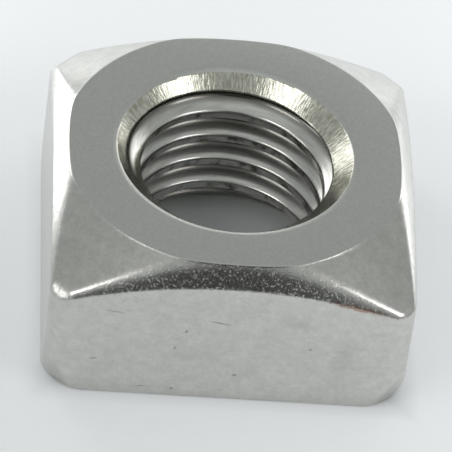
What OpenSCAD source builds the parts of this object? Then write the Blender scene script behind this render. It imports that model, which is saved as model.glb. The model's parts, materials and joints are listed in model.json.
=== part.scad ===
// Square nut with one chamfered side, forged in stainless steel and tapped right through.
// All sizes are millimetres. The nut lies on its flat bearing face, with the chamfered side up,
// and the origin is where the thread's axis meets that face.

/* [Body] */
// Width across the flats
across_flats = 17; // [16:0.1:18.5]
// Height from the bearing face to the top face
height = 8; // [6.5:0.1:10]
// Radius of the four upright edges
edge_radius = 1.1; // [0.6:0.1:1.8]
// Corner radius of the bearing face, where the metal did not fill the die
base_corner_radius = 2.4; // [2:0.1:3]
// Height at which an upright edge has filled out to its own radius
fill_height = 1.6; // [1:0.1:2.4]

/* [Top] */
// Diameter of the flat ring on top, inside the corner chamfer
face_diameter = 16.1; // [15:0.1:16.8]
// Angle of the corner chamfer below the top face
chamfer_angle = 32; // [20:1:35]
// How far the rolled edge comes down each flat, at the middle of the side
roll_drop = 1.05; // [0.6:0.05:1.4]
// How far the rolled edge reaches in over the top, at the middle of the side
roll_reach = 0.7; // [0.5:0.05:0.9]
// Radius of the sweep that lets the rolled edge run out towards the corners
roll_sweep = 43; // [36:1:60]
// How far the roll takes off the tip of each corner, measured in along the diagonal
corner_roll = 0.15; // [0.1:0.05:0.8]

/* [Thread] */
// Nominal diameter of the thread
thread_diameter = 10; // [8:0.5:11]
// Pitch of the thread
thread_pitch = 1.5; // [1:0.25:1.75]
// Direction, seen from above, in which the thread's groove leaves the bearing face
thread_start = 191; // [0:1:359]
// How far the tapping hole is drilled over the thread's basic minor diameter
drill_allowance = 0.3; // [0:0.01:0.37]
// Diameter of the countersink at the top and at the bearing face
countersink_diameter = 11.25; // [10.5:0.05:12]
// Full angle of the countersink
countersink_angle = 90; // [80:1:120]

/* [Hidden] */
$fn = 128;

// Overrun of a cutting tool past the faces that it cuts
overrun = 1;
// Share of the base corner's radius at which its cutter is set in, so that the cut
// crosses the flats at a slight angle and leaves a clean edge on them
base_setting = 0.98;
// Full angle between the thread's flanks
flank_angle = 60;
// Straight steps in one turn of the thread
steps_per_turn = 30;
// How far the thread's cutter begins inside the drilled wall, so that the wall is left as a clean crest
cutter_start = 0.15;

half_width = across_flats / 2;

// Basic minor diameter of the thread: 5/8 of the sharp form's height on each side
sharp_height = thread_pitch / 2 / tan(flank_angle / 2);
minor_diameter = thread_diameter - 2 * sharp_height * 5 / 8;
bore_diameter = minor_diameter + drill_allowance;

countersink_depth = (countersink_diameter - bore_diameter) / 2 / tan(countersink_angle / 2);

// Slope of the rolled edge, measured from the top face
roll_angle = atan2(roll_drop, roll_reach);

// The base corner's cutter is a cone that stands on its small end. It opens upwards until it
// meets the upright edge, on the diagonal, at the fill height.
base_inset = base_corner_radius * base_setting;
edge_from_cutter = (base_inset - edge_radius) * sqrt(2) + edge_radius;
base_flare = (edge_from_cutter - base_corner_radius) / fill_height;

// On the diagonal, the roll takes over from the corner chamfer at this radius and this height
edge_on_diagonal = (half_width - edge_radius) * sqrt(2) + edge_radius;
tip_radius = edge_on_diagonal - corner_roll;
tip_height = height - (tip_radius - face_diameter / 2) * tan(chamfer_angle);

steel = [0.72, 0.72, 0.70];

// Puts a copy of the children on each of the four sides
module each_side() {
    for (turn = [0 : 90 : 270])
        rotate(turn)
            children();
}

// Plan of the nut: a square with rounded corners
module plan() {
    inner = across_flats - 2 * edge_radius;
    square([across_flats, inner], center = true);
    square([inner, across_flats], center = true);
    each_side()
        translate([inner / 2, inner / 2])
            circle(r = edge_radius);
}

// What the die leaves out at the foot of one upright edge
module base_corner_gap() {
    top = fill_height + overrun;
    corner = half_width - base_inset;
    difference() {
        translate([corner, corner, -overrun])
            cube([base_inset + overrun, base_inset + overrun, top + overrun]);
        translate([corner, corner, -2 * overrun])
            cylinder(
                r1 = base_corner_radius - 2 * overrun * base_flare,
                r2 = base_corner_radius + (top + overrun) * base_flare,
                h = top + 3 * overrun
            );
    }
}

// Cone that chamfers the four top corners
module corner_chamfer() {
    cylinder(
        r1 = face_diameter / 2 + height / tan(chamfer_angle),
        r2 = face_diameter / 2,
        h = height
    );
}

// Large cylinder, leaning inwards, that rolls off the top edge of the side at -Y
module rolled_edge() {
    reach = 4 * across_flats;
    translate([0, -half_width, height - roll_drop])
        rotate([roll_angle - 90, 0, 0])
            translate([0, roll_sweep, 0])
                cylinder(r = roll_sweep, h = reach, center = true, $fn = 360);
}

// Steeper cone that carries the rolled edge round the tips of the corners
module rolled_corners() {
    slope = tan(roll_angle);
    cylinder(
        r1 = tip_radius + tip_height / slope,
        r2 = tip_radius - (height - tip_height) / slope,
        h = height
    );
}

// The forged blank, before it is drilled
module blank() {
    intersection() {
        difference() {
            linear_extrude(height)
                plan();
            each_side()
                base_corner_gap();
        }
        corner_chamfer();
        rolled_corners();
        rolled_edge();
        rotate(90)
            rolled_edge();
        rotate(180)
            rolled_edge();
        rotate(270)
            rolled_edge();
    }
}

// Countersink that opens downwards at the bearing face
module countersink() {
    spread = tan(countersink_angle / 2);
    translate([0, 0, -overrun])
        cylinder(
            r1 = countersink_diameter / 2 + overrun * spread,
            r2 = bore_diameter / 2 - overrun * spread,
            h = countersink_depth + 2 * overrun
        );
}

// Hole for the thread: the tapping drill, countersunk at both ends
module tapping_hole() {
    translate([0, 0, -overrun])
        cylinder(d = bore_diameter, h = height + 2 * overrun);
    countersink();
    translate([0, 0, height])
        mirror([0, 0, 1])
            countersink();
}

// Right-hand groove that the tap cuts: a trapezium that climbs one pitch in a turn,
// from one pitch under the bearing face to one pitch over the top face
module thread_groove() {
    root = thread_diameter / 2;
    inner = bore_diameter / 2 - cutter_start;
    root_width = thread_pitch / 8;
    inner_width = root_width + 2 * (root - inner) * tan(flank_angle / 2);
    section = [
        [inner, -inner_width / 2],
        [root, -root_width / 2],
        [root, root_width / 2],
        [inner, inner_width / 2]
    ];
    sides = len(section);
    steps = ceil((height / thread_pitch + 2) * steps_per_turn);

    points = [
        for (step = [0 : steps], corner = section)
            let (turn = step / steps_per_turn)
                [
                    corner.x * cos(360 * turn),
                    corner.x * sin(360 * turn),
                    corner.y + thread_pitch * (turn - 1)
                ]
    ];
    // Two triangles join each side of the section to the same side one step on
    walls = [
        for (step = [0 : steps - 1], side = [0 : sides - 1])
            let (
                here = step * sides + side,
                next = step * sides + (side + 1) % sides
            )
                each [[here, next, here + sides], [next, next + sides, here + sides]]
    ];
    first_end = [for (side = [sides - 1 : -1 : 0]) side];
    last_end = [for (side = [0 : sides - 1]) steps * sides + side];
    rotate(thread_start)
        polyhedron(points, concat([first_end], walls, [last_end]));
}

module square_nut() {
    color(steel)
        difference() {
            blank();
            tapping_hole();
            thread_groove();
        }
}

square_nut();
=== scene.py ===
# %% [markdown]
# # A square nut in stainless steel
#
# The nut is one piece of metal that went through four tools, and each left its own finish:
# a forging die made the square body with its rolled top edges, a facing tool turned the ring on top,
# a countersink opened both ends of the hole, and a tap cut the thread.
# The lesson works from the hole outwards, because the thread is the hardest shape: everything else
# can be grown from the edge of its hole, ring by ring.

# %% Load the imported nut
import json
from functools import cache
from math import atan2, cos, hypot, pi, radians, sin, sqrt, tan

import bmesh
import bpy
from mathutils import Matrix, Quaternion, Vector


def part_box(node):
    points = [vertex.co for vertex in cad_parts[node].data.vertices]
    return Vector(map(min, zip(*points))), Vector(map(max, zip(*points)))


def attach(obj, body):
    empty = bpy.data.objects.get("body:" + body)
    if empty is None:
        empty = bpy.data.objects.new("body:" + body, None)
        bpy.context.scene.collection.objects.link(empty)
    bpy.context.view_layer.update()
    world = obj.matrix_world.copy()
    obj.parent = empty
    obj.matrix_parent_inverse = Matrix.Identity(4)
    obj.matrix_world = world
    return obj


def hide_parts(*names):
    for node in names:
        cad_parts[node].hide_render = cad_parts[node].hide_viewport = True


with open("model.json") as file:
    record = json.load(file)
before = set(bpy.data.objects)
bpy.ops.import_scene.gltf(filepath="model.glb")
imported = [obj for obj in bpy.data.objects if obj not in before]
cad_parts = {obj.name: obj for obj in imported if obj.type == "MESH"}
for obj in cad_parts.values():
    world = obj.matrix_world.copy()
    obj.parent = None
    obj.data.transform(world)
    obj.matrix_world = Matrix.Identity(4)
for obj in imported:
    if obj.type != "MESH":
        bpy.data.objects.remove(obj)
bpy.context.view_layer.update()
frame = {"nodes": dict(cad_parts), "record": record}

print("packed nodes:", sorted(frame["nodes"]))

# %% [markdown]
# ## Sizes
#
# The mesh is modelled in millimetres and scaled to metres at the end, so every size below can be
# checked with a caliper. The width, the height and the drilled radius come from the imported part, and
# the other main sizes repeat the ones it was constructed with. The thread, the ridges and the small
# roundings are drawn finer here.

# %% The nut's driving sizes
mm = 0.001
low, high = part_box("square_nut")
half_width = (high.x - low.x) / 2 / mm
height = (high.z - low.z) / mm
thread_mount = next(m for m in frame["record"]["mounts"] if m["name"] == "thread")
drill_radius = thread_mount["dims"]["r_mm"]
print(f"{2 * half_width:.2f} mm across flats, {height:.2f} mm high, drilled to {2 * drill_radius:.2f} mm")

# %% [markdown]
# ## The thread
#
# A tap cuts a 60 degree groove that climbs one pitch in a turn, and leaves the drilled wall standing as
# a flat crest between the turns. It could be drawn as a bump on a plain bore, but the crests have to
# cut into the countersink and throw real shadows. So one long section of the wall is drawn upright, and
# spun once about the axis while it rises by one pitch: its end then meets its start one thread higher.
# One long spin is slow, so one eighth of a turn is spun, and a second spin repeats that sector.

# %% Profile of the tapped wall
thread_pitch = 1.5
root_radius = 5.05
root_rounding = 0.30
flank_slope = tan(radians(30))
crest_height = 0.40
# Height of one crest's middle on the +X side of the bore, which sets where the thread starts
crest_level = -0.1125
# A crest is worn round on its upper edge and stays sharp on its lower one
worn_rounding = 0.14
sharp_rounding = 0.01


def blended(first, second, width):
    """The lower of two heights, rounded over where they cross."""
    overlap = max(width - abs(first - second), 0.0) / width
    return min(first, second) - overlap ** 2 * width / 4


def tapped_radius(level):
    """Radius of the wall at this level of the section."""
    turns = (level - crest_level) / thread_pitch
    from_crest = (turns - round(turns)) * thread_pitch
    flank = drill_radius + (abs(from_crest) - crest_height / 2) / flank_slope
    cut = blended(flank, root_radius, root_rounding)
    rounding = worn_rounding if from_crest > 0 else sharp_rounding
    return -blended(-cut, -drill_radius, rounding)


print(f"thread: {2 * tapped_radius(crest_level):.2f} mm at its crests, {2 * root_radius:.2f} mm at its roots")

# %% Spin the section into a helix
columns = 360
sectors = 8
rows_per_pitch = 24
section_pitches = 8
section_start = -2 * thread_pitch
weld = 0.003

nut = bmesh.new()
section = []
for row in range(section_pitches * rows_per_pitch + 1):
    level = section_start + row * thread_pitch / rows_per_pitch
    section.append(nut.verts.new((tapped_radius(level), 0, level)))
section += [nut.edges.new(pair) for pair in zip(section, section[1:])]

bmesh.ops.spin(
    nut, geom=section, cent=(0, 0, 0), axis=(0, 0, 1), dvec=(0, 0, thread_pitch / columns),
    angle=2 * pi / sectors, steps=columns // sectors,
)
sector = nut.verts[:] + nut.edges[:] + nut.faces[:]
bmesh.ops.spin(
    nut, geom=sector, cent=(0, 0, 0), axis=(0, 0, 1), dvec=(0, 0, thread_pitch / sectors),
    angle=2 * pi * (sectors - 1) / sectors, steps=sectors - 1, use_duplicate=True,
)
bmesh.ops.remove_doubles(nut, verts=nut.verts, dist=weld)
print("thread:", len(nut.faces), "faces")

# %% Keep the lower edges of the crests sharp
sharp_angle = radians(40)

sharp_edges = [e for e in nut.edges if len(e.link_faces) == 2 and e.calc_face_angle() > sharp_angle]
for edge in sharp_edges:
    edge.smooth = False
print("sharp edges:", len(sharp_edges))

# %% [markdown]
# ## The countersinks
#
# A 90 degree countersink opens both ends of the hole. Cutting a cone out with a Boolean would
# leave long thin faces along the thread. Instead each vertex that lies inside the cone is pushed
# straight out to it, and the two ends are sliced off just under the faces. What is left of the last
# step, a narrow rounded lip, grows back with the top.

# %% Push the wall out to the cones
countersink_radius = 5.625
burr = 0.03


def countersunk_radius(level):
    """Radius of the nearer countersink cone at this level."""
    return countersink_radius - min(level, height - level)


pushed = 0
for vert in nut.verts:
    wall = hypot(vert.co.x, vert.co.y)
    opened = -blended(-wall, -countersunk_radius(vert.co.z), burr)
    vert.co.xy *= opened / wall
    pushed += opened > wall
print("pushed out to the cones:", pushed, "of", len(nut.verts), "vertices")

# %% Slice the ends off under the lips
lip = 0.07
on_plane = 1e-5
rim_weld = 0.02

for level, side in ((lip, -1), (height - lip, 1)):
    everything = nut.verts[:] + nut.edges[:] + nut.faces[:]
    bmesh.ops.bisect_plane(
        nut, geom=everything, dist=on_plane, plane_co=(0, 0, level), plane_no=(0, 0, side),
        clear_outer=True,
    )
rim_verts = [vert for vert in nut.verts if vert.is_boundary]
bmesh.ops.remove_doubles(nut, verts=rim_verts, dist=rim_weld)
print("bore:", len(nut.faces), "faces")

# %% Give each finish its slot
FORGED, FACED, COUNTERSUNK, TAPPED = range(4)
cone_margin = 0.01

for face in nut.faces:
    centre = face.calc_center_median()
    in_cone = hypot(centre.x, centre.y) < countersunk_radius(centre.z) + cone_margin
    face.material_index = COUNTERSUNK if in_cone else TAPPED
cone_faces = sum(face.material_index == COUNTERSUNK for face in nut.faces)
print("countersunk:", cone_faces, "faces, tapped:", len(nut.faces) - cone_faces)

# %% [markdown]
# ## The forged top
#
# Seen from above, the top is a turned ring, four sloping corners and four rolled edges. The corners are
# parts of one cone about the thread. Each rolled edge is part of a large cylinder that leans
# inwards, so its lower border sweeps down towards the corners. These forms could be cut from a block one
# after the other, but that leaves sharp ridges, and forged metal has none. So the top is written as
# a height over each point: where two surfaces cross, the lower one wins and the crossing is rounded over.

# %% Outline seen from above
edge_radius = 1.1


def from_side(angle):
    """Angle from the middle of the nearest side: 0 there, 45 degrees at a corner."""
    return abs((angle + pi / 4) % (pi / 2) - pi / 4)


def plan_radius(angle, centre, radius):
    """Distance from the axis to a square with rounded corners, along a ray."""
    turn = from_side(angle)
    offset = centre * (cos(turn) - sin(turn))
    side = half_width / cos(turn)
    if abs(offset) >= radius or half_width * tan(turn) < centre:
        return side
    return min(side, centre * (cos(turn) + sin(turn)) + sqrt(radius ** 2 - offset ** 2))


def outline(angle):
    """Distance from the axis to the flats and the rounded upright edges."""
    return plan_radius(angle, half_width - edge_radius, edge_radius)


edge_on_diagonal = (half_width - edge_radius) * sqrt(2) + edge_radius
print(f"outline: {outline(0.0):.2f} mm out at a side, {edge_on_diagonal:.2f} mm at an upright edge")

# %% Heights of the rolled edges and the corner tips
face_radius = 16.1 / 2
chamfer_slope = tan(radians(32))
roll_drop = 1.05
roll_reach = 0.7
roll_sweep = 43
roll_angle = atan2(roll_drop, roll_reach)
roll_crown = 0.02
# How far the roll takes off each corner's tip: back right, back left, front left, front right
corner_rolls = (0.45, 0.70, 0.32, 0.12)


def rolled_edge(across, along):
    """Height of a rolled edge: across points at its side, along runs with it."""
    sweep = sqrt(roll_sweep ** 2 - along ** 2) - roll_sweep
    inset = half_width - across
    share = min(max(inset / roll_reach, 0), 1)
    crown = roll_crown * 4 * share * (1 - share)
    return height - roll_drop + crown + (sweep + sin(roll_angle) * inset) / cos(roll_angle)


def corner_tip(radius, angle):
    """Height of the steeper cone that takes off the tip of this corner."""
    corner = int(angle % (2 * pi) // (pi / 2))
    tip_radius = edge_on_diagonal - corner_rolls[corner]
    tip_height = height - (tip_radius - face_radius) * chamfer_slope
    return tip_height - (radius - tip_radius) * tan(roll_angle)


print(f"rolled edge: {rolled_edge(half_width, 0):.2f} mm up at the middle of a side")

# %% Height of the whole forged top
# Ridges are soft beside the ring and crisp at the tips
soft_ridge, soft_ridge_radius = 0.34, 8.0
crisp_ridge, crisp_ridge_radius = 0.12, 11.2


def ridge_softness(radius):
    """Width over which a ridge is rounded at this distance from the axis."""
    share = (radius - soft_ridge_radius) / (crisp_ridge_radius - soft_ridge_radius)
    share = min(max(share, 0), 1)
    return soft_ridge + (crisp_ridge - soft_ridge) * share


def forged_top(radius, angle):
    """Height of the forged top at this radius and angle."""
    turn = from_side(angle)
    across, along = radius * cos(turn), radius * sin(turn)
    chamfer = height - (radius - face_radius) * chamfer_slope
    rolled = min(rolled_edge(across, along), rolled_edge(along, across))
    ridged = blended(chamfer, rolled, ridge_softness(radius))
    return blended(ridged, corner_tip(radius, angle), crisp_ridge / 2)


corners = [pi / 4 + quarter * pi / 2 for quarter in range(4)]
print("corners end", [round(forged_top(outline(a), a), 2) for a in corners], "mm up")


# %% Where the turned ring ends
halvings = 30


@cache
def ring_edge(angle):
    """Radius at which the facing tool ran out into the forged top."""
    inside, outside = countersink_radius, outline(angle)
    for _ in range(halvings):
        middle = (inside + outside) / 2
        if forged_top(middle, angle) > height:
            inside = middle
        else:
            outside = middle
    return inside


print(f"ring: {ring_edge(0.0):.2f} mm out at a side, {ring_edge(pi / 4):.2f} mm at a corner")

# %% [markdown]
# ## Growing the top
#
# A grid laid over the top would cut across the round ring and the square sides. Rings follow both:
# the last loop of edges is extruded, and each new vertex goes where the shape says for its angle.
# The lip's vertices are evenly spaced, but the corners bend much more than the sides,
# so the first large ring also slides its vertices towards the corners.


# %% A ring that grows
def grow(loop, place, finish):
    """Extrudes a closed loop, puts each new vertex at place(angle) and returns the new loop."""
    made = bmesh.ops.extrude_edge_only(nut, edges=loop)["geom"]
    fresh = [item for item in made if isinstance(item, bmesh.types.BMVert)]
    for vert in fresh:
        angle, radius, level = place(atan2(vert.co.y, vert.co.x))
        vert.co = (radius * cos(angle), radius * sin(angle), level)
        for face in vert.link_faces:
            face.material_index = finish
    return [item for item in made if isinstance(item, bmesh.types.BMEdge) and item.is_boundary]


top_rim = [e for e in nut.edges if e.is_boundary and e.verts[0].co.z > height / 2]
base_rim = [e for e in nut.edges if e.is_boundary and e.verts[0].co.z < height / 2]
print("rims to grow from:", len(top_rim), "edges on top,", len(base_rim), "at the base")

# %% The lip and the turned ring
lip_reach = 0.20
# Steps of the rounded lip: how far out from the cone's mouth, and how far below the face
lip_steps = ((0, 0.7 * lip), (lip_reach / 2, 0.2 * lip), (lip_reach, 0), (2 * lip_reach, 0))
# The ring reaches over the forged top by a hair, and a narrow band holds its edge crisp
overhang = 0.03
hold = 0.03
ring_fall = 0.004
gathering = 0.6


def gathered(angle):
    """Slides an evenly spaced angle towards the nearest corner."""
    return angle + gathering / 4 * sin(4 * angle)


def inside_ring_edge(angle):
    """Place just inside the ring's edge, with the vertices gathered at the corners."""
    angle = gathered(angle)
    return angle, ring_edge(angle) + overhang - hold, height


def on_ring_edge(angle):
    """Place on the ring's edge."""
    return angle, ring_edge(angle) + overhang, height - ring_fall


loop = top_rim
for reach, drop in lip_steps:
    loop = grow(loop, lambda a: (a, countersink_radius + reach, height - drop), FACED)
loop = grow(loop, inside_ring_edge, FACED)
loop = grow(loop, on_ring_edge, FACED)
print("ring grown:", len(nut.faces), "faces")

# %% The corners and the rolled edges
top_rings = 20
edge_break = 0.07


def on_top(angle, share):
    """Place on the forged top, from the ring (share 0) to the broken edge over the side (1)."""
    inner = ring_edge(angle) + overhang + hold
    outer = outline(angle) - edge_break
    radius = inner + (outer - inner) * share
    return angle, radius, forged_top(radius, angle)


for ring in range(top_rings + 1):
    loop = grow(loop, lambda a: on_top(a, ring / top_rings), FORGED)
print("top grown:", len(nut.faces), "faces")

# %% [markdown]
# ## The sides and the foot
#
# The flats run straight down. At the foot of each upright edge the metal did not quite fill the die, so
# the corner there is rounder and widens upwards, like a cone standing on its small end. It could be cut
# off the finished corner, but the rings are already at hand: they carry on down the flats,
# and the smaller of the two outlines wins at each level.

# %% Outline of the nut at each level
base_corner_radius = 2.4
# Share of that radius at which the corner's cone is set in from the flats
base_setting = 0.98
fill_height = 1.6
foot_ridge = 0.06

base_inset = base_setting * base_corner_radius
filled_radius = (base_inset - edge_radius) * sqrt(2) + edge_radius
base_flare = (filled_radius - base_corner_radius) / fill_height


def side_radius(angle, level):
    """Distance from the axis to the side, with the unfilled corners at the foot."""
    foot = plan_radius(angle, half_width - base_inset, base_corner_radius + base_flare * level)
    return blended(outline(angle), foot, foot_ridge)


def lower_border(angle):
    """Height at which the forged top meets the side."""
    return forged_top(outline(angle), angle)


print(f"foot: {edge_on_diagonal - side_radius(pi / 4, 0):.2f} mm short of the upright edge")

# %% Grow the sides down to the foot
side_rings = 5
side_gap = 0.05
foot_rings = 12
# Level at which the wide rings of the flats give way to the close ones of the foot
foot_start = 2.2
base_break = 0.12
# Steps of the broken edge over the side: how far in from it, and how far below the border
break_steps = ((0.2 * edge_break, 0.1 * edge_break), (0, edge_break))


def on_side(angle, share):
    """Place on the side, from the broken edge (share 0) to the start of the foot (1)."""
    level = (lower_border(angle) - edge_break - side_gap) * (1 - share) + foot_start * share
    return angle, side_radius(angle, level), level


for inset, drop in break_steps:
    loop = grow(loop, lambda a: (a, outline(a) - inset, lower_border(a) - drop), FORGED)
for ring in range(1, side_rings + 1):
    loop = grow(loop, lambda a: on_side(a, ring / side_rings), FORGED)
for ring in range(1, foot_rings + 1):
    level = foot_start + (base_break - foot_start) * ring / foot_rings
    loop = grow(loop, lambda a: (a, side_radius(a, level), level), FORGED)
print("sides grown:", len(nut.faces), "faces")

# %% Round the foot
round_steps = 3
foot_band = 4 * base_break

for step in range(1, round_steps + 1):
    lean = pi / 2 * step / round_steps
    drop = base_break * (1 - sin(lean))
    inset = base_break * (1 - cos(lean))
    loop = grow(loop, lambda a: (a, side_radius(a, 0) - inset, drop), FORGED)
loop = grow(loop, lambda a: (a, side_radius(a, 0) - foot_band, 0), FORGED)
print("foot rounded:", len(nut.faces), "faces")

# %% Close the bearing face
bridge_band = 6 * base_break
# Steps of the lower lip: how far out from the cone's mouth, how high, and with which finish
lower_lip_steps = (
    (-0.01, lip / 4, COUNTERSUNK),
    (lip / 2, 0, COUNTERSUNK),
    (4 * lip, 0, FORGED),
)


def inside_foot(angle):
    """Place on the bearing face, inside the band that the foot ends with."""
    angle = gathered(angle)
    return angle, side_radius(angle, 0) - bridge_band, 0


base_loop = base_rim
for reach, level, finish in lower_lip_steps:
    base_loop = grow(base_loop, lambda a: (a, countersink_radius + reach, level), finish)
base_loop = grow(base_loop, inside_foot, FORGED)
bridge = bmesh.ops.bridge_loops(nut, edges=loop + base_loop)["faces"]
for face in bridge:
    face.material_index = FORGED
open_edges = sum(len(edge.link_faces) != 2 for edge in nut.edges)
print("nut closed:", len(nut.faces), "faces,", open_edges, "open edges")

# %% Turn the mesh into the finished piece
bmesh.ops.recalc_face_normals(nut, faces=nut.faces)
for face in nut.faces:
    face.smooth = True
volume = nut.calc_volume()
bmesh.ops.scale(nut, vec=(mm, mm, mm), verts=nut.verts)
nut_mesh = bpy.data.meshes.new("threaded_nut")
nut.to_mesh(nut_mesh)
nut.free()
threaded_nut = bpy.data.objects.new("threaded_nut", nut_mesh)
bpy.context.collection.objects.link(threaded_nut)
print(f"threaded nut: {len(nut_mesh.polygons)} faces, {volume:.0f} cubic mm of steel")

# %% [markdown]
# ## The finishes
#
# All four finishes are the same bare stainless steel, a metal with a warm grey reflection. They could be
# painted with one picture of the nut, but that would fix the light of one moment onto it. Instead each is a
# metal with small patterns in the nut's own space, and the eye tells them apart by their texture:
# grainy from the die, even from the facing tool, ribbed by the countersink, smooth and dirty from the tap.
# Only the thread's roots also carry painted shade.

# %% Colours and a node helper
def linear(code):
    """Turns an sRGB hex colour into the linear values that a shader takes."""
    parts = [int(code[i:i + 2], 16) / 255 for i in (1, 3, 5)]
    return [p / 12.92 if p <= 0.04045 else ((p + 0.055) / 1.055) ** 2.4 for p in parts] + [1]


def add(tree, kind, sockets=(), **settings):
    """Adds a node, sets its options, and sets or links its input sockets."""
    node = tree.nodes.new(kind)
    for name, value in settings.items():
        setattr(node, name, value)
    for name, value in dict(sockets).items():
        if isinstance(value, bpy.types.NodeSocket):
            tree.links.new(value, node.inputs[name])
        else:
            node.inputs[name].default_value = value
    return node


def scale_of(size):
    """Texture scale that gives features of this size in millimetres."""
    return 1 / (size * mm)


print("a middle grey, #808080, is", round(linear("#808080")[0], 3), "in linear light")

# %% The bare steel that the finishes share
bare_steel = linear("#CFCECA")


def steel(name, roughness):
    """A new bare steel finish: its material, node tree, shader and Object coordinates."""
    material = bpy.data.materials.new(name)
    material.use_nodes = True
    tree = material.node_tree
    shader = tree.nodes["Principled BSDF"]
    shader.inputs["Base Color"].default_value = bare_steel
    shader.inputs["Metallic"].default_value = 1
    shader.inputs["Roughness"].default_value = roughness
    place = add(tree, "ShaderNodeTexCoord").outputs["Object"]
    return material, tree, shader, place


print("bare steel:", [round(part, 3) for part in bare_steel[:3]])

# %% [markdown]
# ### Forged stainless steel
#
# The flats, corners and rolled edges still have the die's skin: a fine grain that sparkles where it turns
# towards a light, over a faint orange peel. It could be modelled, but that would take millions of faces,
# so the grain and the peel are bumps. Only the peaks of the grain are raised, which makes it sparkle
# rather than ripple, and it is weaker on the corners, which the die pressed smoother.

# %% Grain of the forged skin
# The real grain is too fine for the picture, so it is drawn coarser, about two pixels wide
grain_size = 0.11
grain_depth = 0.008 * mm
peel_size = 0.50
peel_depth = 0.004 * mm
# Heights of the noise between which a peak of the grain rises
peak_start, peak_full = 0.52, 0.80
# How far a face looks up (0 on a flat, 1 on top) where the grain starts to weaken, and where it is weakest
steep_look, corner_look = 0.60, 0.80
corner_grain = 0.25

# Gives the eye a satin grey with pinpoint sparkles
forged, tree, shader, place = steel("forged_stainless", roughness=0.24)
grain = add(tree, "ShaderNodeTexNoise", {"Vector": place, "Scale": scale_of(grain_size), "Detail": 2})
peel = add(tree, "ShaderNodeTexNoise", {"Vector": place, "Scale": scale_of(peel_size), "Detail": 2})
peel_bump = add(tree, "ShaderNodeBump", {"Height": peel.outputs["Fac"], "Distance": peel_depth})
crystals = add(
    tree, "ShaderNodeMapRange",
    {"Value": grain.outputs["Fac"], "From Min": peak_start, "From Max": peak_full},
    interpolation_type="SMOOTHSTEP",
).outputs["Result"]
look = add(tree, "ShaderNodeNewGeometry").outputs["Normal"]
look_up = add(tree, "ShaderNodeSeparateXYZ", {"Vector": look}).outputs["Z"]
strength = add(
    tree, "ShaderNodeMapRange",
    {"Value": look_up, "From Min": steep_look, "From Max": corner_look,
     "To Min": 1.0, "To Max": corner_grain},
).outputs["Result"]
grain_bump = add(
    tree, "ShaderNodeBump",
    {"Height": crystals, "Strength": strength, "Distance": grain_depth,
     "Normal": peel_bump.outputs["Normal"]},
)
tree.links.new(grain_bump.outputs["Normal"], shader.inputs["Normal"])
print("forged skin: grain", grain_size, "mm, peel", peel_size, "mm")

# %% [markdown]
# The skin is also mottled, and the front flat has scratches, specks and a few dull smudges. Brown flecks of
# forging scale are left under one end of the front rolled edge. These marks only darken the steel, because
# they are too shallow to catch the light. Each is an ellipsoid in the nut's own space, which needs
# no picture and stays on its flat from every side.

# %% Mottling and specks
patch_size = 0.55
# The patches are drawn out a little along the flats
patch_squeeze = 1.3
speck_size = 0.17
# Specks crowd together where the patches are light
crowding = 0.6
speck_start, speck_full, speck_shade = 1.0, 1.25, 0.5

fine = add(tree, "ShaderNodeTexNoise", {"Vector": place, "Scale": scale_of(speck_size), "Detail": 2})
fine_noise = fine.outputs["Fac"]
drawn = add(tree, "ShaderNodeMapping", {"Vector": place, "Scale": (1, 1, patch_squeeze)})
patch = add(
    tree, "ShaderNodeTexNoise",
    {"Vector": drawn.outputs["Vector"], "Scale": scale_of(patch_size), "Detail": 6, "Roughness": 0.85},
).outputs["Fac"]
mottled = add(
    tree, "ShaderNodeMix", {"Factor": patch, "A": linear("#AAA9A5"), "B": linear("#E8E7E3")},
    data_type="RGBA",
).outputs["Result"]
crowded = add(
    tree, "ShaderNodeMath", {0: patch, 1: crowding, 2: fine_noise}, operation="MULTIPLY_ADD",
).outputs["Value"]
stain = add(
    tree, "ShaderNodeMapRange",
    {"Value": crowded, "From Min": speck_start, "From Max": speck_full, "To Max": speck_shade},
).outputs["Result"]
print("mottled skin: patches", patch_size, "mm, specks", speck_size, "mm")

# %% Places of the scratches, spots and smudges
front = -half_width
# Each mark: place of its middle, half its length and height, its slope and how dark it is
marks = (
    ((-0.55, front, 4.86), 0.62, 0.055, 10, 0.8),
    ((-5.5, front, 5.22), 0.70, 0.030, 7, 0.8),
    ((-3.9, front, 0.54), 0.30, 0.05, -5, 0.8),
    ((-6.2, front, 2.16), 0.25, 0.05, -5, 0.8),
    ((3.77, front, 3.52), 0.10, 0.08, 0, 0.8),
    ((-2.05, front, 4.2), 0.09, 0.12, 0, 0.8),
    ((-2.5, front, 3.12), 0.07, 0.12, 0, 0.8),
    ((-2.42, front, 0.5), 0.12, 0.10, 0, 0.8),
    ((0.42, front, 1.6), 0.14, 0.09, 0, 0.8),
    ((5.4, front, 3.0), 0.8, 1.5, 10, 0.14),
    ((3.1, front, 5.1), 1.3, 0.5, 10, 0.12),
    ((-1.5, front, 2.6), 1.8, 0.7, 10, 0.08),
)
print("marks on the front flat:", len(marks))

# %% Darken the skin at the marks
mark_depth = 0.5


def mark(centre, length, width, slope):
    """A soft ellipsoid on a flat: 1 in its middle and 0 at its border."""
    spot = add(
        tree, "ShaderNodeMapping",
        {"Vector": place, "Location": Vector(centre) * mm, "Rotation": (0, radians(slope), 0),
         "Scale": Vector((length, mark_depth, width)) * mm},
        vector_type="TEXTURE",
    )
    return add(
        tree, "ShaderNodeTexGradient", {"Vector": spot.outputs["Vector"]}, gradient_type="SPHERICAL",
    ).outputs["Fac"]


for centre, length, width, slope, shade in marks:
    worn = mark(centre, length, width, slope)
    stain = add(
        tree, "ShaderNodeMath", {0: worn, 1: shade, 2: stain}, operation="MULTIPLY_ADD",
    ).outputs["Value"]
stained = add(
    tree, "ShaderNodeMix", {"Factor": stain, "A": mottled, "B": linear("#5A5650")}, data_type="RGBA",
).outputs["Result"]
print("marked skin:", len(tree.nodes), "nodes")

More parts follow.
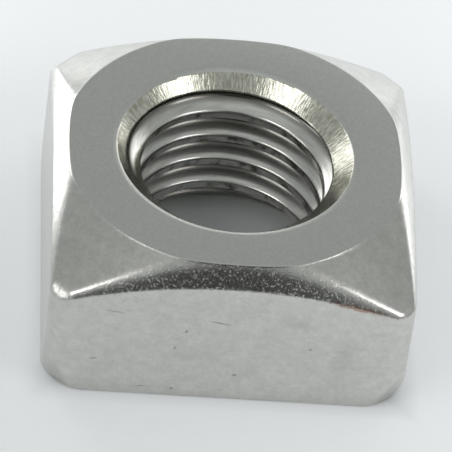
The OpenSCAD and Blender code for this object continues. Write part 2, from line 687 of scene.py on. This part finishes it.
# %% Flecks of forging scale
fleck_start, fleck_full, fleck_shade = 0.16, 0.36, 0.7

scale_border = mark((5.6, front, 6.32), 2.4, 0.26, 13)
fleck = add(tree, "ShaderNodeMath", {0: scale_border, 1: fine_noise}, operation="MULTIPLY")
flecks = add(
    tree, "ShaderNodeMapRange",
    {"Value": fleck.outputs["Value"], "From Min": fleck_start, "From Max": fleck_full,
     "To Max": fleck_shade},
).outputs["Result"]
flecked = add(
    tree, "ShaderNodeMix", {"Factor": flecks, "A": stained, "B": linear("#94705F")}, data_type="RGBA",
)
tree.links.new(flecked.outputs["Result"], shader.inputs["Base Color"])
print("forged skin:", len(tree.nodes), "nodes")

# %% [markdown]
# ### Faced stainless steel
#
# The facing tool left an even satin on the ring. Its turning marks could be drawn as fine circles, but on
# the real ring they are too fine to see, and circles would give it a shine that turns with the eye. A small
# even noise keeps the ring flat and dull, so it stands out against the brighter forging.

# %% Faced stainless steel
# Drawn coarser than the tool's real marks, so that the satin shows at all
satin_size = 0.13
satin_depth = 0.004 * mm

# Gives the eye a flat, even grey
faced, tree, shader, place = steel("faced_stainless", roughness=0.32)
satin = add(
    tree, "ShaderNodeTexNoise",
    {"Vector": place, "Scale": scale_of(satin_size), "Detail": 4, "Roughness": 0.7},
).outputs["Fac"]
satin_bump = add(tree, "ShaderNodeBump", {"Height": satin, "Distance": satin_depth})
satin_grey = add(
    tree, "ShaderNodeMix", {"Factor": satin, "A": linear("#B3B3AF"), "B": linear("#DADAD6")},
    data_type="RGBA",
)
tree.links.new(satin_bump.outputs["Normal"], shader.inputs["Normal"])
tree.links.new(satin_grey.outputs["Result"], shader.inputs["Base Color"])
print("faced ring:", len(tree.nodes), "nodes")

# %% [markdown]
# ### Countersunk stainless steel
#
# The countersink chattered, which left fine ribs that run down the cone. A plain noise would give them no
# direction, so the cone is unrolled first: the angle about the thread becomes a length round the hole, and
# the depth is squeezed, which stretches the noise into ribs. The cut is a little yellow, as if oil was
# left on it.

# %% Countersunk stainless steel
# Finer ribs would be lost between the picture's pixels, so they are drawn coarser, nearly two pixels wide
rib_width = 0.08
rib_stretch = 4
rib_depth = 0.014 * mm
rib_start, rib_full = 0.40, 0.62

# Gives the eye a bright, slightly yellow cut that glitters along its ribs
countersunk, tree, shader, place = steel("countersunk_stainless", roughness=0.2)
axes = add(tree, "ShaderNodeSeparateXYZ", {"Vector": place}).outputs
turn = add(tree, "ShaderNodeMath", {0: axes["Y"], 1: axes["X"]}, operation="ARCTAN2").outputs["Value"]
round_way = add(tree, "ShaderNodeMath", {0: turn, 1: drill_radius * mm}, operation="MULTIPLY")
down_way = add(tree, "ShaderNodeMath", {0: axes["Z"], 1: rib_stretch}, operation="DIVIDE")
unrolled = add(
    tree, "ShaderNodeCombineXYZ", {"X": round_way.outputs["Value"], "Y": down_way.outputs["Value"]},
).outputs["Vector"]
ribs = add(
    tree, "ShaderNodeTexNoise", {"Vector": unrolled, "Scale": scale_of(rib_width), "Detail": 5},
).outputs["Fac"]
rib_bump = add(tree, "ShaderNodeBump", {"Height": ribs, "Distance": rib_depth})
dull = add(tree, "ShaderNodeMapRange", {"Value": ribs, "From Min": rib_start, "From Max": rib_full})
ribbed = add(
    tree, "ShaderNodeMix",
    {"Factor": dull.outputs["Result"], "A": linear("#D9D9CD"), "B": linear("#B2B0A2")}, data_type="RGBA",
)
tree.links.new(rib_bump.outputs["Normal"], shader.inputs["Normal"])
tree.links.new(ribbed.outputs["Result"], shader.inputs["Base Color"])
print("countersinks:", len(tree.nodes), "nodes")

# %% [markdown]
# ### Tapped stainless steel
#
# The tap's cut is the smoothest, with faint streaks that run round with the thread. Dirt stays in
# the thread, and painted shade darkens the roots, which is why its grooves look dark although the steel
# is bright. The dirt could be painted on by hand, but it follows a rule: crumbs stick to the upright
# crests. The painted shade fills the roots. So the way a face looks places the dirt, and the distance from
# the axis places the painted shade.

# %% Streaks of the tap
streak_size = 0.9
streak_squeeze = 10
streak_depth = 0.003 * mm
grime_start, grime_full, grime_shade = 0.45, 0.75, 0.3

# Gives the eye a bright flank with dirty grooves, darkened in their roots by painted shade
tapped, tree, shader, place = steel("tapped_stainless", roughness=0.24)
along = add(tree, "ShaderNodeMapping", {"Vector": place, "Scale": (1, 1, streak_squeeze)})
streaks = add(
    tree, "ShaderNodeTexNoise",
    {"Vector": along.outputs["Vector"], "Scale": scale_of(streak_size), "Detail": 3},
).outputs["Fac"]
streak_bump = add(tree, "ShaderNodeBump", {"Height": streaks, "Distance": streak_depth})
tree.links.new(streak_bump.outputs["Normal"], shader.inputs["Normal"])
grime = add(
    tree, "ShaderNodeMapRange",
    {"Value": streaks, "From Min": grime_start, "From Max": grime_full, "To Max": grime_shade},
).outputs["Result"]
grimy = add(
    tree, "ShaderNodeMix", {"Factor": grime, "A": bare_steel, "B": linear("#86837A")}, data_type="RGBA",
).outputs["Result"]
print("streaks of the tap:", streak_size, "mm")

# %% Crumbs on the crests
crumb_size = 0.7
crumb_start, crumb_full, crumb_shade = 0.52, 0.66, 0.85
# How far a face leans up or down where the crumbs start to slide off, and where none are left
crumb_lean, clean_lean = 0.1, 0.35

look = add(tree, "ShaderNodeNewGeometry").outputs["Normal"]
look_up = add(tree, "ShaderNodeSeparateXYZ", {"Vector": look}).outputs["Z"]
lean = add(tree, "ShaderNodeMath", {0: look_up}, operation="ABSOLUTE").outputs["Value"]
upright = add(
    tree, "ShaderNodeMapRange",
    {"Value": lean, "From Min": crumb_lean, "From Max": clean_lean, "To Min": 1, "To Max": 0},
).outputs["Result"]
lumps = add(tree, "ShaderNodeTexNoise", {"Vector": place, "Scale": scale_of(crumb_size), "Detail": 4})
crumbs = add(
    tree, "ShaderNodeMapRange",
    {"Value": lumps.outputs["Fac"], "From Min": crumb_start, "From Max": crumb_full, "To Max": crumb_shade},
).outputs["Result"]
stuck = add(tree, "ShaderNodeMath", {0: crumbs, 1: upright}, operation="MULTIPLY").outputs["Value"]
print("crumbs:", crumb_size, "mm")

# %% Painted shade in the roots
# The painted shade starts this far inside the roots, and is full this far inside them
root_shade_start, root_shade_full, root_shade_strength = 0.34, 0.10, 0.7

sideways = add(tree, "ShaderNodeVectorMath", {0: place, 1: (1, 1, 0)}, operation="MULTIPLY")
from_axis = add(
    tree, "ShaderNodeVectorMath", {0: sideways.outputs["Vector"]}, operation="LENGTH",
).outputs["Value"]
# Painted shade: the steel darkens towards the roots, where the grooves are deepest
root_shade = add(
    tree, "ShaderNodeMapRange",
    {"Value": from_axis, "From Min": (root_radius - root_shade_start) * mm,
     "From Max": (root_radius - root_shade_full) * mm, "To Max": root_shade_strength},
).outputs["Result"]
# The crumbs of dirt and the painted shade of the roots darken the steel with one dark colour
dirt_and_root_shade = add(tree, "ShaderNodeMath", {0: stuck, 1: root_shade}, operation="MAXIMUM").outputs["Value"]
dirty_and_root_shaded = add(
    tree, "ShaderNodeMix", {"Factor": dirt_and_root_shade, "A": grimy, "B": linear("#47433A")}, data_type="RGBA",
)
tree.links.new(dirty_and_root_shaded.outputs["Result"], shader.inputs["Base Color"])
print("tapped wall:", len(tree.nodes), "nodes")

# %% [markdown]
# ## The piece in its frame
#
# Nothing on a nut moves, so the imported part is one body, the root. The mesh could be parented and placed
# by hand, but it was modelled where the imported nut lies, so it is only attached to the root body, and the
# imported nut is hidden.

# %% Put the piece in the frame
for finish in (forged, faced, countersunk, tapped):
    threaded_nut.data.materials.append(finish)
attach(threaded_nut, "root")
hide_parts("square_nut")
print("finishes:", [m.name for m in threaded_nut.data.materials])

# %% [markdown]
# ## The floor
#
# The nut lies on a pale matt board, as small parts do when they are photographed for a catalogue. More
# light would make the board white, but it would also burn out the steel. So the board glows a little, only
# for the camera and for reflected or bent rays, and the steel shows the same pale board that the eye sees.
# The glow fades out towards the nut, which paints a soft shadow round its foot and keeps the dark of the
# bore. It is also painted brighter towards the front right, as a pool of light.

# %% Board
board_size = 3.0
board_mesh = bpy.data.meshes.new("floor")
sheet = bmesh.new()
bmesh.ops.create_grid(sheet, x_segments=1, y_segments=1, size=board_size / 2)
sheet.to_mesh(board_mesh)
sheet.free()
floor = bpy.data.objects.new("floor", board_mesh)
bpy.context.collection.objects.link(floor)

# Gives the eye a soft white without shine
matt_white = bpy.data.materials.new("matt_white_board")
matt_white.use_nodes = True
tree = matt_white.node_tree
board = tree.nodes["Principled BSDF"]
board.inputs["Base Color"].default_value = linear("#EEF0F2")
board.inputs["Roughness"].default_value = 0.9
board.inputs["Specular IOR Level"].default_value = 0.1
board.inputs["Emission Color"].default_value = linear("#FBFDFF")
board_mesh.materials.append(matt_white)
print("board:", board_size, "m square")

# %% Glow of the board
# The glow fades in from this far inside the nut's sides to this far outside them, as a painted shadow
dark_inside, lit_outside = 0.9, 0.8
# It is painted brightest towards the front right, as a pool of light
painted_light_way = Vector((0.88, -0.47, 0))
glow_span = 25
faint_glow, full_glow = 0.06, 0.31

ground = add(tree, "ShaderNodeTexCoord").outputs["Object"]
spread = add(tree, "ShaderNodeVectorMath", {0: ground}, operation="ABSOLUTE").outputs["Vector"]
spread_axes = add(tree, "ShaderNodeSeparateXYZ", {"Vector": spread}).outputs
outwards = add(
    tree, "ShaderNodeMath", {0: spread_axes["X"], 1: spread_axes["Y"]}, operation="MAXIMUM",
).outputs["Value"]
# Painted shadow: the glow fades out round the nut's foot, which darkens the board there
outside_painted_shadow = add(
    tree, "ShaderNodeMapRange",
    {"Value": outwards, "From Min": (half_width - dark_inside) * mm,
     "From Max": (half_width + lit_outside) * mm},
).outputs["Result"]
# Painted light: the glow grows towards the front right, as a pool of light on the board
nearer = add(
    tree, "ShaderNodeVectorMath", {0: ground, 1: painted_light_way}, operation="DOT_PRODUCT",
).outputs["Value"]
glow = add(
    tree, "ShaderNodeMapRange",
    {"Value": nearer, "From Min": -glow_span * mm, "From Max": glow_span * mm,
     "To Min": faint_glow, "To Max": full_glow},
).outputs["Result"]
path = add(tree, "ShaderNodeLightPath").outputs
shown = path["Is Camera Ray"]
for ray in ("Is Glossy Ray", "Is Transmission Ray"):
    shown = add(tree, "ShaderNodeMath", {0: shown, 1: path[ray]}, operation="MAXIMUM").outputs["Value"]
shown_outside_painted_shadow = add(tree, "ShaderNodeMath", {0: shown, 1: outside_painted_shadow}, operation="MULTIPLY").outputs["Value"]
seen_glow = add(tree, "ShaderNodeMath", {0: shown_outside_painted_shadow, 1: glow}, operation="MULTIPLY").outputs["Value"]
tree.links.new(seen_glow, board.inputs["Emission Strength"])
print("glow of the board:", faint_glow, "to", full_glow)

# %% [markdown]
# ## The room
#
# Bare metal has almost no look of its own: it shows the room. This room has pale walls, a brighter
# ceiling, and one dark place in front, where the photographer stands. The steep front edge of the nut
# looks at that place, which is why it is nearly black. A picture of a real room would do the same, but a few
# directions are easier to place.

# %% Walls, ceiling and the dark place
room_level = 0.44
ceiling_level = 0.62
ceiling_start, ceiling_full = 0.87, 0.97
dark_level = 0.03
dark_way = Vector((0.05, -0.95, 0.31)).normalized()
dark_rim, dark_core = radians(25), radians(14.5)

world = bpy.data.worlds.new("white_room")
bpy.context.scene.world = world
world.use_nodes = True
tree = world.node_tree
way = add(tree, "ShaderNodeTexCoord").outputs["Generated"]
facing = add(
    tree, "ShaderNodeVectorMath", {0: way, 1: dark_way}, operation="DOT_PRODUCT",
).outputs["Value"]
walls = add(
    tree, "ShaderNodeMapRange",
    {"Value": facing, "From Min": cos(dark_rim), "From Max": cos(dark_core),
     "To Min": room_level, "To Max": dark_level},
    interpolation_type="SMOOTHSTEP",
).outputs["Result"]
upwards = add(tree, "ShaderNodeSeparateXYZ", {"Vector": way}).outputs["Z"]
ceiling = add(
    tree, "ShaderNodeMapRange",
    {"Value": upwards, "From Min": ceiling_start, "From Max": ceiling_full,
     "To Max": ceiling_level - room_level},
    interpolation_type="SMOOTHSTEP",
).outputs["Result"]
room = add(tree, "ShaderNodeMath", {0: walls, 1: ceiling}, operation="ADD").outputs["Value"]
background = tree.nodes["Background"]
background.inputs["Color"].default_value = linear("#FAFFFD")
tree.links.new(room, background.inputs["Strength"])
print("room:", room_level, "on the walls,", ceiling_level, "on the ceiling,", dark_level, "in the dark")

# %% [markdown]
# ## The light panels
#
# White cards close behind the nut make its back edges and the countersink bright, and two softboxes in front
# give its shape soft shadows. Lamps are usually set in watts, but what a metal shows is how bright
# a card looks. So each panel takes its brightness, where 1 is white, and its watts follow from its area.

# %% Panels round the nut
# Watts for each square metre of an area light at which its surface is as bright as white
white_watts = 4


def panel(name, centre, target, width, length, brightness):
    """An area light, in millimetres, whose surface is as bright as brightness times white."""
    lamp = bpy.data.lights.new(name, "AREA")
    lamp.shape = "RECTANGLE"
    lamp.size = width * mm
    lamp.size_y = length * mm
    lamp.energy = white_watts * lamp.size * lamp.size_y * brightness
    light = bpy.data.objects.new(name, lamp)
    light.location = Vector(centre) * mm
    aim = Vector(target) - Vector(centre)
    light.rotation_euler = aim.to_track_quat("-Z", "Y").to_euler()
    light.visible_camera = False
    bpy.context.collection.objects.link(light)


nut_middle = (0, 0, 5)
# Each panel: name, centre, what it faces, width, length and brightness
panels = (
    ("left_card", (-36, 49, 30), (0, 49, 30), 42, 32, 1.5),
    ("left_strip", (-25, 28, 5), (0, 28, 5), 36, 10, 1.9),
    ("right_card", (36, 49, 21), (0, 49, 21), 42, 22, 1.12),
    ("right_strip", (30, 19, 4), (0, 19, 4), 22, 8, 1.15),
    ("back_card", (4, 62, 9), nut_middle, 60, 18, 0.66),
    ("back_strip", (20, 60, 27), nut_middle, 44, 6, 1.4),
    ("left_wall", (-150, -36, 52), nut_middle, 60, 50, 1.35),
    ("left_softbox", (-112, -94, 136), nut_middle, 90, 45, 2.5),
    ("right_softbox", (136, -79, 122), nut_middle, 90, 45, 2.5),
)
for values in panels:
    panel(*values)
print("light panels:", len(panels))

# %% [markdown]
# ## The camera
#
# The picture was taken from the front, a little from the left and well above, with a long lens, so parallel
# edges stay nearly parallel. Its place could be found by moving a camera until the picture looks right.
# Here it is given as a direction, a distance and a roll about the line of sight, which can be measured
# from the nut's edges.

# %% Camera
aim_point = Vector((0, -0.46, 3.54)) * mm
distance = 283 * mm
to_the_left = radians(6.606)
elevation = radians(42.67)
roll = radians(8.058)
picture_pixels = 452
focal_pixels = 6000

towards_camera = Vector((
    -sin(to_the_left) * cos(elevation), -cos(to_the_left) * cos(elevation), sin(elevation),
))
lens = bpy.data.cameras.new("camera")
lens.sensor_width = 36
lens.lens = focal_pixels / picture_pixels * lens.sensor_width
lens.clip_start = 0.01
camera = bpy.data.objects.new("camera", lens)
camera.location = aim_point + towards_camera * distance
sight = (-towards_camera).to_track_quat("-Z", "Y") @ Quaternion((0, 0, 1), roll)
camera.rotation_euler = sight.to_euler()
bpy.context.collection.objects.link(camera)
bpy.context.scene.camera = camera
bpy.context.scene.view_settings.view_transform = "Standard"
print(f"camera: {lens.lens:.0f} mm lens, {distance / mm:.0f} mm away")
